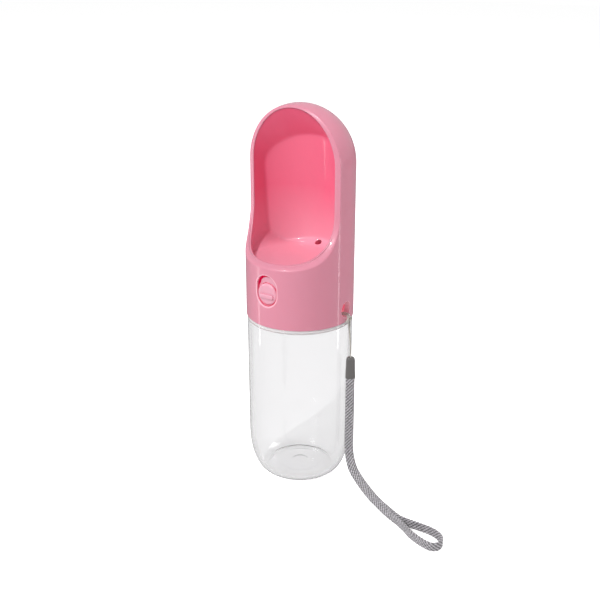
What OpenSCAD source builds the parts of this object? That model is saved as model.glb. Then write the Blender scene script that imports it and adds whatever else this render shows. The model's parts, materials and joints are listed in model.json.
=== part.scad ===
// Dog travel water bottle: a clear screw-on bottle under a head that holds
// a drinking trough, a press valve with a sliding button, and a wrist lanyard.
// The origin is the centre of the base, the trough and button face -Y, +Z is up.

/* [Bottle] */
// Height of the bottle's shoulder above the base
shoulder_z = 106.7; // [95:0.1:120]
// Step from the head's side in to the bottle's shoulder
bottle_step = 0.5; // [0.4:0.1:0.9]
// Thickness of the bottle's wall
bottle_wall = 2; // [1.5:0.1:2.4]
// Height of the rounded stretch above the foot
base_curve_h = 27.5; // [20:0.5:35]
// Radius of the foot ring that the bottle stands on
foot_r = 21.4; // [18:0.1:23]

/* [Head] */
// Outer radius of the head
head_r = 33; // [33:0.1:34.5]
// Height of the head's straight side
side_h = 93; // [89:0.5:97]
// Rise of the dome
dome_h = 35; // [32:0.5:38]
// Thickness of the head's wall
head_wall = 1.5; // [1.4:0.1:1.6]

/* [Trough] */
// Distance of the opening's flat edge in front of the axis
opening_y = 7; // [5:0.5:9]
// Radius of the curve between the opening's edge and the lip
lip_curve_r = 28; // [26:0.5:28]
// Half width of the opening
opening_hw = 29.2; // [28.8:0.1:29.3]
// Height of the trough's floor above the head's lower rim
floor_h = 37.8; // [37.6:0.1:38.4]
// Bore of the trough's outlet
outlet_d = 4.7; // [4:0.1:5]

/* [Button] */
// Diameter of the button
button_d = 13.3; // [12.8:0.1:13.3]
// Travel of the button when pressed
press_travel = 3; // [2:0.1:3]
// Travel of the locking slide
lock_travel = 4.5; // [3:0.1:4.5]

/* [Thread] */
// Lead of the neck's thread
thread_lead = 4; // [4:0.1:4.2]
// Turns of thread on the neck and in the collar
thread_turns = 1.25; // [1:0.05:1.3]

/* [Lanyard] */
// Width of the woven strap
strap_w = 5.4; // [5:0.1:5.5]
// Thickness of the woven strap
strap_t = 1.7; // [1.4:0.1:1.7]
// Diameter of the string
string_d = 0.9; // [0.7:0.05:0.9]

/* [Hidden] */

// Clearances
run_gap = 0.3;
fit_gap = 0.2;
shaft_gap = 0.05;
face_gap = 0.1;

// Levels and sides that the two halves share
bottle_r = head_r - bottle_step;
rim_z = shoulder_z + run_gap;
dome_z = rim_z + side_h;
floor_z = rim_z + floor_h;

// Neck and thread
neck_r = bottle_r - 8.5;
neck_wall = 2.2;
neck_bore_r = neck_r - neck_wall;
neck_top = shoulder_z + 11.8;
thread_h = 1.5;
thread_root_w = 1.7;
thread_tip_w = 0.9;
thread_start_z = shoulder_z + 3.3;
shoulder_t = 2.3;
side_draft = 0.2;

// Collar, seat plate and flow chamber
collar_bore_r = neck_r + thread_h + run_gap;
collar_r = collar_bore_r + 1.8;
collar_bottom = shoulder_z + 1.9;
gasket_t = 1.8;
gasket_bottom = neck_top + fit_gap;
plate_bottom = gasket_bottom + gasket_t + fit_gap;
plate_top = plate_bottom + 2.5;
chamber_top = plate_top + 1.8;
roof_top = chamber_top + 2;
stem_y = 8;
outlet_y = 19.5;
seat_hole_r = 4.5;
chamber_r = 5.8;
chamber_wall = 1.7;
lug_r = head_r - head_wall - 2.1;
lug_boss_r = 2.3;
lug_ear_r = 1.9;
lug_screw_l = 8.5;
pipe_r = 3.6;
pipe_top = roof_top + 7;
spigot_bottom = floor_z - 6.3;

// Valve stem and cam
stem_r = 1.8;
plug_r = 7.5;
plug_t = 2.7;
plug_top = plate_bottom - face_gap;
cap_z = plate_top + 10;
cap_r = 4.4;
cam_in = 4.7;
cam_out = 6.3;
cam_z = plate_top + 4.8;

// Slot, slide and button
button_r = button_d / 2;
button_z = rim_z + 20.2;
button_t = 2.5;
button_face_t = 1.3;
button_front = head_r - 1.1;
slot_r = button_r + 0.65;
slide_x = -1.4;
slide_front_r = head_r - head_wall - 0.9;
slide_t = 1.6;
slide_back_r = slide_front_r - slide_t;
slide_hw = 10;
slide_h = 13.2;
slide_low = button_z - 9.4;
tongue_top = button_z + 10.4;
guide_w = 15;
guide_h = 11;
guide_t = 1.7;
tongue_r = 6;
tail_r = 2;
tube_r = 8.2;
tube_back = press_travel + run_gap + button_t - button_front;
tail_end = tube_back + 4.6;
rail_bottom = rim_z + 10.5;
rail_h = 18.5;
rail_lip_hw = 8.9;

// Block over the press slider
cover_w = 22;
cover_d = 9;
cover_y = -13.5;
cover_h = 5;
cover_screw_x = 7.8;
cover_screw_l = 6.5;

// Trough
liner_t = 1.4;
rim_depth = 1;
rim_w = 2.97;
lip_curve_y = -35;
lip_curve_z = rim_z + 67;
arch_h = 32.9;
ceiling_slope = 38.2;
back_r = 35;
back_y = -18;
back_z = rim_z + 107;
back_tilt = 4.5;
floor_back_y = 13;
floor_back_r = 14;
floor_side_r = 14;
floor_tilt = 1.3;

// Lanyard eye
eye_y = 1.6;
eye_z = rim_z + 7.7;
eye_r = 4.9;
eye_boss_r = 6.9;
eye_boss_x = head_r - 4.1;
eye_notch_hw = 2.6;
eye_notch_h = 1.4;

// Ferrule, square to the view that the strap hangs in
hang_x = head_r + 3.5;
hang_y = 1.8;
hang_turn = 35.3;
ferrule_bottom = eye_z - 45.5;
ferrule_h = 16.3;
ferrule_w = 6.7;
ferrule_t = 4.6;
layer_gap = 2;

$fn = 64;

// A closed tube swept along points, one section for each point
module sweep(sections) {
  n = len(sections[0]);
  m = len(sections);
  side = [
    for (i = [0:m - 2], j = [0:n - 1], half = [0, 1])
      let (a = i * n + j, b = i * n + (j + 1) % n)
      half == 0 ? [a, b, b + n] : [a, b + n, a + n]
  ];
  start = [[for (j = [n - 1:-1:0]) j]];
  end = [[for (j = [0:n - 1]) (m - 1) * n + j]];
  polyhedron(points = [for (s = sections) each s], faces = concat(side, start, end), convexity = 8);
}

function unit(v) = v / norm(v);
function tangent(p, i) = unit(p[min(i + 1, len(p) - 1)] - p[max(i - 1, 0)]);
function square_to(v, t) = unit(v - (v * t) * t);

// Section of a flat cord: wide along w, thin across it, with eased corners
function strap_section(c, t, w) =
  let (a = square_to(w, t), b = cross(t, a), e = 0.3)
  [
    for (k = [[1, e], [1 - e, 1], [e - 1, 1], [-1, e], [-1, -e], [e - 1, -1], [1 - e, -1], [1, -e]])
      c + a * k[0] * strap_w / 2 + b * k[1] * strap_t / 2
  ];

// Section of a round cord
function cord_section(c, t, r) =
  let (a = square_to([0.31, 0.9, 0.22], t), b = cross(t, a))
  [for (k = [0:7]) c + r * (a * cos(k * 45) + b * sin(k * 45))];

// A trapezoidal thread ridge: rises outward from r0 when h > 0, inward when h < 0
module thread_ridge(r0, h, z0) {
  steps = 15 * ceil(2 * thread_turns);
  sections = [
    for (i = [0:steps])
      let (
        a = 360 * thread_turns * i / steps,
        z = z0 + thread_lead * a / 360,
        f = min(1, 0.15 + 8 * min(i, steps - i) / steps),
        r1 = r0 + h * f,
        wr = thread_root_w / 2,
        wt = thread_tip_w / 2,
        dir = sign(h)
      )
      [
        for (q = [[r0 - dir * 0.2, -wr * dir], [r1, -wt * dir], [r1, wt * dir], [r0 - dir * 0.2, wr * dir]])
          [q[0] * cos(a), q[0] * sin(a), z + q[1]]
      ]
  ];
  sweep(sections);
}

// Coil spring standing on z = 0
module coil(r, wire, length, turns) {
  steps = 12 * turns;
  pts = [
    for (i = [0:steps])
      [r * cos(30 * i), r * sin(30 * i), wire + (length - 2 * wire) * i / steps]
  ];
  sweep([for (i = [0:steps]) cord_section(pts[i], tangent(pts, i), wire)]);
}

module ring(r_out, r_in, h) {
  difference() {
    cylinder(r = r_out, h = h);
    translate([0, 0, -1]) cylinder(r = r_in, h = h + 2);
  }
}

module capsule(r, dist) {
  translate([0, -r]) square([dist, 2 * r]);
  circle(r = r);
  translate([dist, 0]) circle(r = r);
}

// Side profile drawn in Y and Z, extruded along X
module across(half) {
  rotate([90, 0, 90]) translate([0, 0, -half]) linear_extrude(height = 2 * half) children();
}

// ---- Bottle ----

function base_curve(grow) = [
  for (i = [0:12])
    let (a = 90 * i / 12, w = bottle_r - side_draft - foot_r)
    [foot_r + (w - grow) * sin(a), base_curve_h - (base_curve_h - grow) * cos(a)]
];

module bottle_outline() {
  foot_rise = 2.6;
  punt_r = 16.5;
  polygon(concat(
    [[0, foot_rise + 0.8], [7, foot_rise + 0.8], [7.8, foot_rise], [punt_r, foot_rise], [foot_r - 1.6, 0.4]],
    [[foot_r - 0.6, 0]],
    base_curve(0),
    [
      [bottle_r, shoulder_z - 0.6], [bottle_r - 0.5, shoulder_z],
      [neck_r, shoulder_z], [neck_r, neck_top - 0.4], [neck_r - 0.4, neck_top], [0, neck_top]
    ]
  ));
}

module bottle_hollow() {
  inner_floor = 5.4;
  polygon(concat(
    [[0, inner_floor], [foot_r - 5, inner_floor], [foot_r - 2.2, 3.4]],
    [for (p = base_curve(bottle_wall)) if (p[1] > 3.4) p],
    [
      [bottle_r - bottle_wall, shoulder_z - shoulder_t - 1],
      [bottle_r - bottle_wall - 1, shoulder_z - shoulder_t],
      [neck_bore_r + 0.6, shoulder_z - shoulder_t], [neck_bore_r, shoulder_z - shoulder_t + 0.6],
      [neck_bore_r, neck_top + 1], [0, neck_top + 1]
    ]
  ));
}

module bottle() {
  color("white") {
    rotate_extrude($fn = 96) difference() {
      bottle_outline();
      bottle_hollow();
    }
    thread_ridge(neck_r, thread_h, thread_start_z);
  }
}

module neck_gasket() {
  color("whitesmoke") translate([0, 0, gasket_bottom]) ring(neck_r + 0.6, neck_bore_r + 0.1, gasket_t);
}

// ---- Head envelope and the trough's shape ----

module head_solid(inset, bottom) {
  r = head_r - inset;
  rise = dome_h - inset;
  bevel = inset > 0 ? 0 : 0.4;
  rotate_extrude($fn = 96) polygon(concat(
    [[0, bottom], [r - bevel, bottom], [r, bottom + bevel]],
    [for (i = [0:18]) [r * cos(5 * i), dome_z + rise * sin(5 * i)]]
  ));
}

// All that lies in front of the opening's edge, moved back by a distance
module front_cut(back) {
  across(head_r + 5) {
    translate([lip_curve_y, lip_curve_z]) circle(r = lip_curve_r + back, $fn = 96);
    translate([lip_curve_y - lip_curve_r, lip_curve_z])
      square([lip_curve_r - lip_curve_y - opening_y + back, 80]);
  }
}

// The trough's hollow, grown on every side by a distance
module trough_hollow(grow) {
  hw = opening_hw + grow;
  reach = dome_z + dome_h - rim_z;
  arch_v = (arch_h + grow) * cos(ceiling_slope);
  intersection() {
    cylinder(r = head_r - rim_w + grow, h = dome_z + dome_h, $fn = 96);
    translate([0, back_y, back_z]) rotate([back_tilt, 0, 0])
      translate([0, 0, -reach]) cylinder(r = back_r + grow, h = 2 * reach, $fn = 96);
    translate([0, -opening_y, dome_z]) rotate([90 - ceiling_slope, 0, 0])
      translate([0, 0, -reach]) linear_extrude(height = 2 * reach)
        polygon(concat(
          [[-hw, -reach], [hw, -reach]],
          [for (i = [0:36]) [hw * cos(5 * i), arch_v * sin(5 * i)]]
        ));
    across(head_r) translate([floor_back_y, floor_z]) rotate([0, 0, -floor_tilt]) {
      translate([-2 * head_r, -grow]) square([2 * head_r, reach]);
      translate([-2 * head_r, floor_back_r]) square([2 * head_r + floor_back_r + grow + 4, reach]);
      translate([0, floor_back_r]) circle(r = floor_back_r + grow);
    }
    rotate([90, 0, 0]) translate([0, 0, -2 * head_r]) linear_extrude(height = 4 * head_r) {
      side = opening_hw + 0.3 - floor_side_r;
      translate([-side, floor_z - grow - 1]) square([2 * side, reach]);
      translate([-side - floor_side_r - grow, floor_z + floor_side_r - 1])
        square([2 * (side + floor_side_r + grow), reach]);
      translate([side, floor_z + floor_side_r - 1]) circle(r = floor_side_r + grow);
      translate([-side, floor_z + floor_side_r - 1]) circle(r = floor_side_r + grow);
    }
  }
}

// The band along the opening's edge that belongs to the outer shell
module rim_zone() {
  difference() {
    front_cut(rim_depth);
    translate([0, 0, rim_z]) cylinder(r = head_r - head_wall - rim_w - run_gap, h = floor_h + 5.2);
  }
}

module at_lugs() {
  for (a = [45:90:315]) rotate([0, 0, a]) translate([lug_r, 0, 0]) children();
}

module front_slab(hw, depth) {
  translate([slide_x - hw, -head_r, rim_z]) cube([2 * hw, depth, 2 * rail_h]);
}

module slide_rails() {
  rib_r = slide_back_r - 1;
  lip_r = slide_back_r - 1.8;
  lip_bottom = plate_top + 0.5;
  intersection() {
    union() {
      difference() {
        translate([0, 0, rail_bottom]) cylinder(r = head_r - head_wall + face_gap, h = rail_h);
        translate([0, 0, rim_z]) cylinder(r = rib_r, h = 2 * rail_h);
        front_slab(slide_hw + run_gap, head_r);
      }
      difference() {
        translate([0, 0, lip_bottom]) cylinder(r = slide_back_r - run_gap, h = rail_bottom + rail_h - lip_bottom);
        translate([0, 0, rim_z]) cylinder(r = lip_r, h = 2 * rail_h);
        front_slab(rail_lip_hw, head_r);
      }
    }
    front_slab(slide_hw + 1.8, 12);
  }
}

module head_shell() {
  color("pink") difference() {
    union() {
      difference() {
        head_solid(0, rim_z);
        head_solid(head_wall, rim_z - 1);
      }
      difference() {
        intersection() {
          head_solid(0, rim_z + 30);
          rim_zone();
        }
        trough_hollow(0);
      }
      intersection() {
        head_solid(0.4, rim_z);
        translate([eye_boss_x, eye_y, eye_z]) rotate([0, 90, 0]) cylinder(r = eye_boss_r, h = 5);
      }
      difference() {
        at_lugs() translate([0, 0, plate_top + face_gap]) cylinder(r = lug_boss_r, h = 9);
        at_lugs() translate([0, 0, plate_top]) cylinder(r = 0.9, h = 7);
      }
      slide_rails();
    }
    front_cut(0);
    translate([eye_boss_x - 3, eye_y, eye_z]) rotate([0, 90, 0]) cylinder(r = eye_r, h = 10);
    translate([eye_boss_x - 3, eye_y - eye_notch_hw, rim_z - 1]) cube([10, 2 * eye_notch_hw, eye_notch_h + 1]);
    translate([slide_x, -head_r + 3, button_z]) rotate([90, 0, 0]) rotate([0, 0, 90])
      linear_extrude(height = 6) capsule(slot_r, lock_travel);
  }
}

module trough_liner() {
  color("hotpink") difference() {
    union() {
      intersection() {
        trough_hollow(liner_t);
        head_solid(head_wall + fit_gap, rim_z);
      }
      translate([0, outlet_y, spigot_bottom]) cylinder(r = pipe_r, h = 10);
    }
    trough_hollow(0);
    rim_zone();
    front_cut(0);
    translate([0, outlet_y, spigot_bottom - 1]) cylinder(d = outlet_d, h = 16);
  }
}

// ---- Valve ----

module stadium(r, z, h) {
  translate([0, stem_y, z]) rotate([0, 0, 90]) linear_extrude(height = h) capsule(r, outlet_y - stem_y);
}

module valve_chassis() {
  color("lightpink") {
    difference() {
      union() {
        translate([0, 0, collar_bottom]) cylinder(r = collar_r, h = plate_top - collar_bottom);
        at_lugs() translate([0, 0, plate_bottom]) {
          cylinder(r = lug_ear_r, h = plate_top - plate_bottom);
          translate([-5, -lug_ear_r, 0]) cube([5, 2 * lug_ear_r, plate_top - plate_bottom]);
        }
        stadium(chamber_r + chamber_wall, plate_top - 0.5, roof_top - plate_top + 0.5);
        translate([-cover_w / 2, cover_y, plate_top - 0.5]) cube([cover_w, cover_d, roof_top - plate_top + 0.6]);
        translate([0, outlet_y, roof_top - 0.5]) cylinder(r = pipe_r, h = pipe_top - roof_top + 0.5);
      }
      translate([0, 0, collar_bottom - 1]) cylinder(r = collar_bore_r, h = plate_bottom - collar_bottom + 1);
      stadium(chamber_r, plate_top, chamber_top - plate_top);
      translate([0, stem_y, plate_bottom - 1]) cylinder(r = seat_hole_r, h = 4);
      translate([0, stem_y, chamber_top - 1]) cylinder(r = stem_r + shaft_gap, h = 4);
      translate([0, stem_y, chamber_top - 1]) cylinder(r = stem_r + 1.4, h = 2.3);
      translate([0, outlet_y, chamber_top - 1]) cylinder(d = outlet_d, h = 20);
      at_lugs() translate([0, 0, plate_bottom - 1]) cylinder(r = 1, h = 5);
      translate([slide_x - slide_hw - 0.6, -head_r, neck_top])
        cube([2 * slide_hw + 1.2, head_r + tube_back + 0.4, 6]);
      at_cover_screws() translate([0, 0, plate_top + 0.5]) cylinder(r = 0.8, h = 6);
    }
    thread_ridge(collar_bore_r, -thread_h, thread_start_z + thread_lead / 2 - 0.4);
  }
}

module screw(head_rad, shank_r, length) {
  difference() {
    cylinder(r = head_rad, h = 1.2);
    translate([-0.25, -1, -1]) cube([0.5, 2, 1.6]);
    translate([-1, -0.25, -1]) cube([2, 0.5, 1.6]);
  }
  translate([0, 0, 1]) cylinder(r = shank_r, h = length);
}

module chassis_screws() {
  color("silver") at_lugs() translate([0, 0, plate_bottom - 1.2]) screw(1.7, 0.8, lug_screw_l);
}

module valve_plug() {
  color("dimgray") translate([0, stem_y, plug_top - plug_t]) ring(plug_r, stem_r, plug_t);
}

module valve_stem() {
  color("silver") translate([0, stem_y, plug_top - plug_t]) {
    cylinder(r = stem_r, h = cap_z + 4 - plug_top + plug_t);
    translate([0, 0, -1.2]) cylinder(r = 3.2, h = 1.2);
  }
}

module stem_cap() {
  ear_y = -1.5;
  ear_top = stem_y + ear_y + cam_z;
  color("white") difference() {
    union() {
      translate([0, stem_y, cap_z]) cylinder(r = cap_r, h = 1.4);
      translate([-cam_out, stem_y + ear_y, cap_z]) cube([2 * cam_out, 3, 1.4]);
      for (s = [-1, 1]) translate([s * (cam_in + cam_out) / 2, 0, 0])
        across((cam_out - cam_in) / 2)
          polygon([
            [stem_y + ear_y, cap_z], [stem_y + ear_y + 3, cap_z],
            [stem_y + ear_y + 3, ear_top + 3], [stem_y + ear_y, ear_top]
          ]);
    }
    translate([0, stem_y, cap_z - 1]) cylinder(r = stem_r, h = 4);
  }
}

module stem_clip() {
  color("silver") translate([0, stem_y, cap_z + 1.4]) ring(stem_r + 1.5, stem_r, 0.7);
}

module stem_oring() {
  color("black") translate([0, stem_y, chamber_top + 0.65])
    rotate_extrude() translate([stem_r + shaft_gap + 0.65, 0]) circle(r = 0.6, $fn = 32);
}

module valve_spring() {
  color("silver") translate([0, stem_y, roof_top]) coil(3.4, 0.3, cap_z - roof_top, 4);
}

module outlet_sleeve() {
  color("lightgray") translate([0, outlet_y, roof_top + 1.5]) ring(pipe_r + 1.4, pipe_r, spigot_bottom + 4 - roof_top - 1.5);
}

// ---- Press slider ----

slider_z = roof_top + 0.4;
slider_t = 2.5;
slider_hw = 3.5;

module push_slider() {
  pad_y = tail_end + run_gap;
  pad_w = 12;
  pad_h = 11.6;
  cam_front = cam_z + run_gap;
  color("white") {
    translate([-pad_w / 2, pad_y, plate_top + 0.8]) cube([pad_w, 1.6, pad_h]);
    translate([-slider_hw, pad_y + 1, slider_z]) cube([2 * slider_hw, -pad_y - 2.5, slider_t]);
    translate([-cam_out, -3, slider_z]) cube([2 * cam_out, 2, slider_t]);
    for (s = [-1, 1]) translate([s * (cam_in + cam_out) / 2, 0, 0])
      across((cam_out - cam_in) / 2)
        polygon([
          [-3, slider_z], [slider_z - cam_front, slider_z], [stem_y + 1.8, stem_y + 1.8 + cam_front],
          [stem_y + 1.8, stem_y + 4.3 + cam_front], [-3, stem_y + 4.3 + cam_front]
        ]);
  }
}

module at_cover_screws() {
  for (s = [-1, 1]) translate([s * cover_screw_x, cover_y + cover_d / 2, 0]) children();
}

module slider_cover() {
  base = roof_top + 0.1;
  color("lightpink") difference() {
    translate([-cover_w / 2, cover_y, base]) cube([cover_w, cover_d, cover_h]);
    translate([-slider_hw - run_gap, cover_y - 0.5, base - 1])
      cube([2 * (slider_hw + run_gap), cover_d + 1, slider_z + slider_t + run_gap - base + 1]);
    at_cover_screws() translate([0, 0, base - 1]) cylinder(r = 1, h = 7);
  }
}

module cover_screws() {
  color("silver") at_cover_screws() translate([0, 0, roof_top + cover_h + 1.3]) mirror([0, 0, 1]) screw(1.7, 0.8, cover_screw_l);
}

// ---- Locking slide and button ----

module curved_plate(hw, z0, z1) {
  intersection() {
    difference() {
      translate([0, 0, z0]) cylinder(r = slide_front_r, h = z1 - z0);
      translate([0, 0, z0 - 1]) cylinder(r = slide_back_r, h = z1 - z0 + 2);
    }
    translate([slide_x - hw, -head_r, z0]) cube([2 * hw, head_r, z1 - z0]);
  }
}

module along_button(y_front, y_back) {
  translate([slide_x, y_back, button_z]) rotate([90, 0, 0]) linear_extrude(height = y_back - y_front) children();
}

module lock_slide() {
  color("palevioletred") difference() {
    union() {
      curved_plate(slide_hw, slide_low, slide_low + slide_h);
      intersection() {
        curved_plate(tongue_r, button_z - 2, tongue_top + 1);
        translate([0, 0, tongue_top - tongue_r - button_z]) along_button(-head_r, tail_end) {
          circle(r = tongue_r);
          translate([-tongue_r, -12]) square([2 * tongue_r, 12]);
        }
      }
      along_button(-slide_back_r - run_gap, tube_back) circle(r = tube_r);
      translate([slide_x - guide_w / 2, tube_back - 0.3, button_z - 3.3]) cube([guide_w, guide_t, guide_h]);
    }
    along_button(-head_r, tube_back - face_gap) circle(r = button_r + run_gap);
    along_button(-head_r, tail_end) circle(r = tail_r + shaft_gap);
  }
}

module button() {
  rib = [10, 1.4, 2.4];
  color("palevioletred") {
    difference() {
      along_button(-button_front, -button_front + button_t) circle(r = button_r);
      along_button(-button_front + button_face_t, -button_front + button_t + 1) circle(r = 5);
    }
    along_button(-button_front + 1, tail_end) circle(r = tail_r);
    translate([slide_x - rib[0] / 2, -button_front - 0.9, button_z - 2.3]) cube(rib);
  }
}

module button_spring() {
  seat = tube_back - face_gap;
  length = seat + button_front - button_face_t - face_gap;
  color("silver") translate([slide_x, seat, button_z]) rotate([90, 0, 0]) coil(3.4, 0.2, length, 2);
}

module button_clip() {
  color("silver") along_button(tube_back + 1.5, tube_back + 2.3) difference() {
    circle(r = 3.6);
    circle(r = tail_r);
  }
}

// ---- Lanyard ----

// Lark's head round the strip under the eye, from the eye's outer edge: one strand up, the bight, one down
string_route = [
  [3.9, 0.5, -33.7], [3.8, 0.5, -29.7], [2.9, 1.3, -22.7], [1.6, 1.3, -13.7], [0.9, 0.7, -7.5],
  [0.8, 0.6, -5.3], [0.2, 0.6, -4.1], [-2, 0.6, -3.8], [-4.5, 0.6, -4.1], [-4.8, 0.5, -5.4],
  [-4.6, 0.2, -6.9], [-2, -0.2, -7.2], [1.6, -1.6, -7.1], [2.3, -2.5, -5.7], [2.5, -1.4, -4.1],
  [2.5, 0.6, -4.2], [2.4, 2.2, -5.3], [1.9, 2.1, -6.9], [-0.6, 1.6, -7.2], [-3.6, 1.7, -7.4],
  [-4.8, 2, -6.5], [-4.8, 2, -4.4], [-3.6, 2, -3.4], [-0.2, 2, -3.5], [1, 2.4, -5],
  [1, 3, -7.3], [2, 2.9, -13.7], [3.2, 2.8, -22.7], [5, 1.4, -29.7], [5, 1.4, -33.7]
];

// Middle of the doubled strap, from the ferrule down to where the loop opens, and its width's direction
hang_w = [cos(hang_turn), sin(hang_turn), 0];
strap_route = [
  [[0, 0, ferrule_bottom + 3.3], hang_w], [[0, 0, 60], hang_w], [[0, 0, 45], hang_w],
  [[0.1, 0, 33], hang_w], [[0.7, -0.1, 23], [0.8, 0.55, 0.2]], [[2.3, -0.7, 15.4], [0.66, 0.45, 0.6]],
  [[5.7, -2.2, 9], [0.38, 0.25, 0.89]], [[11, -4.7, 4.9], [0.1, 0.06, 0.99]],
  [[18.1, -9.4, 3.2], [0, 0, 1]], [[26.5, -14.8, 2.9], [0, 0, 1]], [[35.5, -19.9, 2.9], [0, 0, 1]],
  [[44.5, -24.2, 2.9], [0, 0, 1]], [[51.5, -26.8, 2.9], [0, 0, 1]]
];
loop_route = [
  [58.5, -31.4], [64.8, -35.3], [73, -38.4], [80.1, -39.4], [83.6, -36.3], [82.7, -30.9],
  [77.9, -27.2], [72.7, -26], [66.3, -25.9], [59.3, -26.2]
];

module lanyard_string() {
  r = string_d / 2;
  color("beige") translate([head_r, eye_y, eye_z]) sweep([
    for (i = [0:len(string_route) - 1]) cord_section(string_route[i], tangent(string_route, i), r)
  ]);
}

module lanyard_ferrule() {
  color("gray") difference() {
    translate([hang_x, hang_y, ferrule_bottom]) rotate([0, 0, hang_turn]) intersection() {
      translate([-ferrule_w / 2 + ferrule_t / 2, 0, 0]) linear_extrude(height = ferrule_h)
        capsule(ferrule_t / 2, ferrule_w - ferrule_t);
      rotate([90, 0, 0]) translate([0, 0, -5]) linear_extrude(height = 10) {
        translate([-ferrule_w / 2, 0]) square([ferrule_w, ferrule_h - ferrule_w / 2]);
        translate([0, ferrule_h - ferrule_w / 2]) circle(r = ferrule_w / 2);
      }
    }
    translate([hang_x, hang_y, ferrule_bottom]) rotate([0, 0, hang_turn])
      translate([-strap_w / 2 - face_gap, -layer_gap / 2 - strap_t / 2 - face_gap, -1])
        cube([strap_w + 2 * face_gap, layer_gap + strap_t + 2 * face_gap, 4.6]);
  }
}

module lanyard_strap() {
  last = len(strap_route) - 1;
  mid = [for (p = strap_route) p[0]];
  normals = [for (i = [0:last]) let (t = tangent(mid, i)) cross(t, square_to(strap_route[i][1], t))];
  down = [for (i = [0:last]) [mid[i] + normals[i] * layer_gap / 2, strap_route[i][1]]];
  around = [for (p = loop_route) [[p[0], p[1], mid[last][2]], [0, 0, 1]]];
  up = [for (i = [last:-1:0]) [mid[i] - normals[i] * layer_gap / 2, strap_route[i][1]]];
  route = concat(down, around, up);
  pts = [for (p = route) p[0]];
  color("darkgray") translate([hang_x, hang_y, 0]) sweep([
    for (i = [0:len(route) - 1]) strap_section(pts[i], tangent(pts, i), route[i][1])
  ]);
}

bottle();
neck_gasket();
head_shell();
trough_liner();
valve_chassis();
chassis_screws();
valve_plug();
valve_stem();
stem_cap();
stem_clip();
stem_oring();
valve_spring();
outlet_sleeve();
push_slider();
slider_cover();
cover_screws();
lock_slide();
button();
button_spring();
button_clip();
lanyard_string();
lanyard_ferrule();
lanyard_strap();
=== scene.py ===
import json
import math

import bpy
import numpy as np
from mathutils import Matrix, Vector


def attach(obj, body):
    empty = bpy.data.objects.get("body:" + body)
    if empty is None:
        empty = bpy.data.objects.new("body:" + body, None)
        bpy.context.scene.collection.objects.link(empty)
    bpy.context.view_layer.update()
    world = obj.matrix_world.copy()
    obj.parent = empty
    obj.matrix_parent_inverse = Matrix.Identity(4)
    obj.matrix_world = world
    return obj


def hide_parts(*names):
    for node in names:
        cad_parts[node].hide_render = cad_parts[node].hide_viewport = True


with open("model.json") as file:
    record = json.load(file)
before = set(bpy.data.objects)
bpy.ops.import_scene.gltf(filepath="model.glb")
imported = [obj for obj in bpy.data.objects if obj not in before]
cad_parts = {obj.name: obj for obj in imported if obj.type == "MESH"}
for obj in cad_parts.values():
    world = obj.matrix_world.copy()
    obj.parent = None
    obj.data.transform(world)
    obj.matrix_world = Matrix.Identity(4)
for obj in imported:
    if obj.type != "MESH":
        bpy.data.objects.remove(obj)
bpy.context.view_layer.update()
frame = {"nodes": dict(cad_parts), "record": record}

MM = 0.001

# ---------------------------------------------------------------- camera

VIEW_AZIMUTH = math.radians(35.3)
VIEW_PITCH = math.radians(21.0)
VIEW_REACH = 558.76 * MM
VIEW_HEIGHT = 328.53 * MM
LENS_MM, SENSOR_MM = 58.225, 36

cam_data = bpy.data.cameras.new("Camera")
cam_data.lens = LENS_MM
cam_data.sensor_width = SENSOR_MM
cam_data.clip_start = 0.01
camera = bpy.data.objects.new("Camera", cam_data)
camera.location = (
    VIEW_REACH * math.sin(VIEW_AZIMUTH),
    -VIEW_REACH * math.cos(VIEW_AZIMUTH),
    VIEW_HEIGHT,
)
camera.rotation_euler = (math.pi / 2 - VIEW_PITCH, 0, VIEW_AZIMUTH)
bpy.context.scene.collection.objects.link(camera)
bpy.context.scene.camera = camera
bpy.context.scene.view_settings.view_transform = "Standard"


# ---------------------------------------------------------------- helpers


def add_mesh(name, verts, faces, uvs=None, smooth=True):
    """A mesh object; uvs holds one (u, v) for each vertex."""
    mesh = bpy.data.meshes.new(name)
    mesh.from_pydata([tuple(v) for v in verts], [], faces)
    mesh.polygons.foreach_set("use_smooth", [smooth] * len(mesh.polygons))
    if uvs:
        layer = mesh.uv_layers.new(name="UVMap")
        for loop in mesh.loops:
            layer.data[loop.index].uv = uvs[loop.vertex_index]
    mesh.update()
    obj = bpy.data.objects.new(name, mesh)
    bpy.context.scene.collection.objects.link(obj)
    return obj


def smooth_path(points, steps):
    """Catmull-Rom curve through the points, with so many steps a stretch."""
    p = [2 * points[0] - points[1]] + list(points) + [2 * points[-1] - points[-2]]
    out = []
    for i in range(1, len(p) - 2):
        a, b, c, d = p[i - 1], p[i], p[i + 1], p[i + 2]
        for k in range(steps):
            t = k / steps
            out.append(
                0.5
                * (
                    2 * b
                    + (c - a) * t
                    + (2 * a - 5 * b + 4 * c - d) * t * t
                    + (3 * b - a - 3 * c + d) * t * t * t
                )
            )
    out.append(points[-1])
    return out


def tangents(path):
    last = len(path) - 1
    return [
        (path[min(i + 1, last)] - path[max(i - 1, 0)]).normalized()
        for i in range(len(path))
    ]


def math_node(tree, kind, a, b=0.0):
    """A Math node's output; a and b are floats or sockets."""
    node = tree.nodes.new("ShaderNodeMath")
    node.operation = kind
    for socket, value in zip(node.inputs, (a, b)):
        if isinstance(value, float):
            socket.default_value = value
        else:
            tree.links.new(value, socket)
    return node.outputs[0]


def tube_faces(rings, n):
    """Faces round a tube of so many rings of n points, with both ends closed."""
    faces = [
        [i * n + k, i * n + (k + 1) % n, (i + 1) * n + (k + 1) % n, (i + 1) * n + k]
        for i in range(rings - 1)
        for k in range(n)
    ]
    return faces + [list(range(n))[::-1], [(rings - 1) * n + k for k in range(n)]]


# ---------------------------------------------------------------- materials


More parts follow.
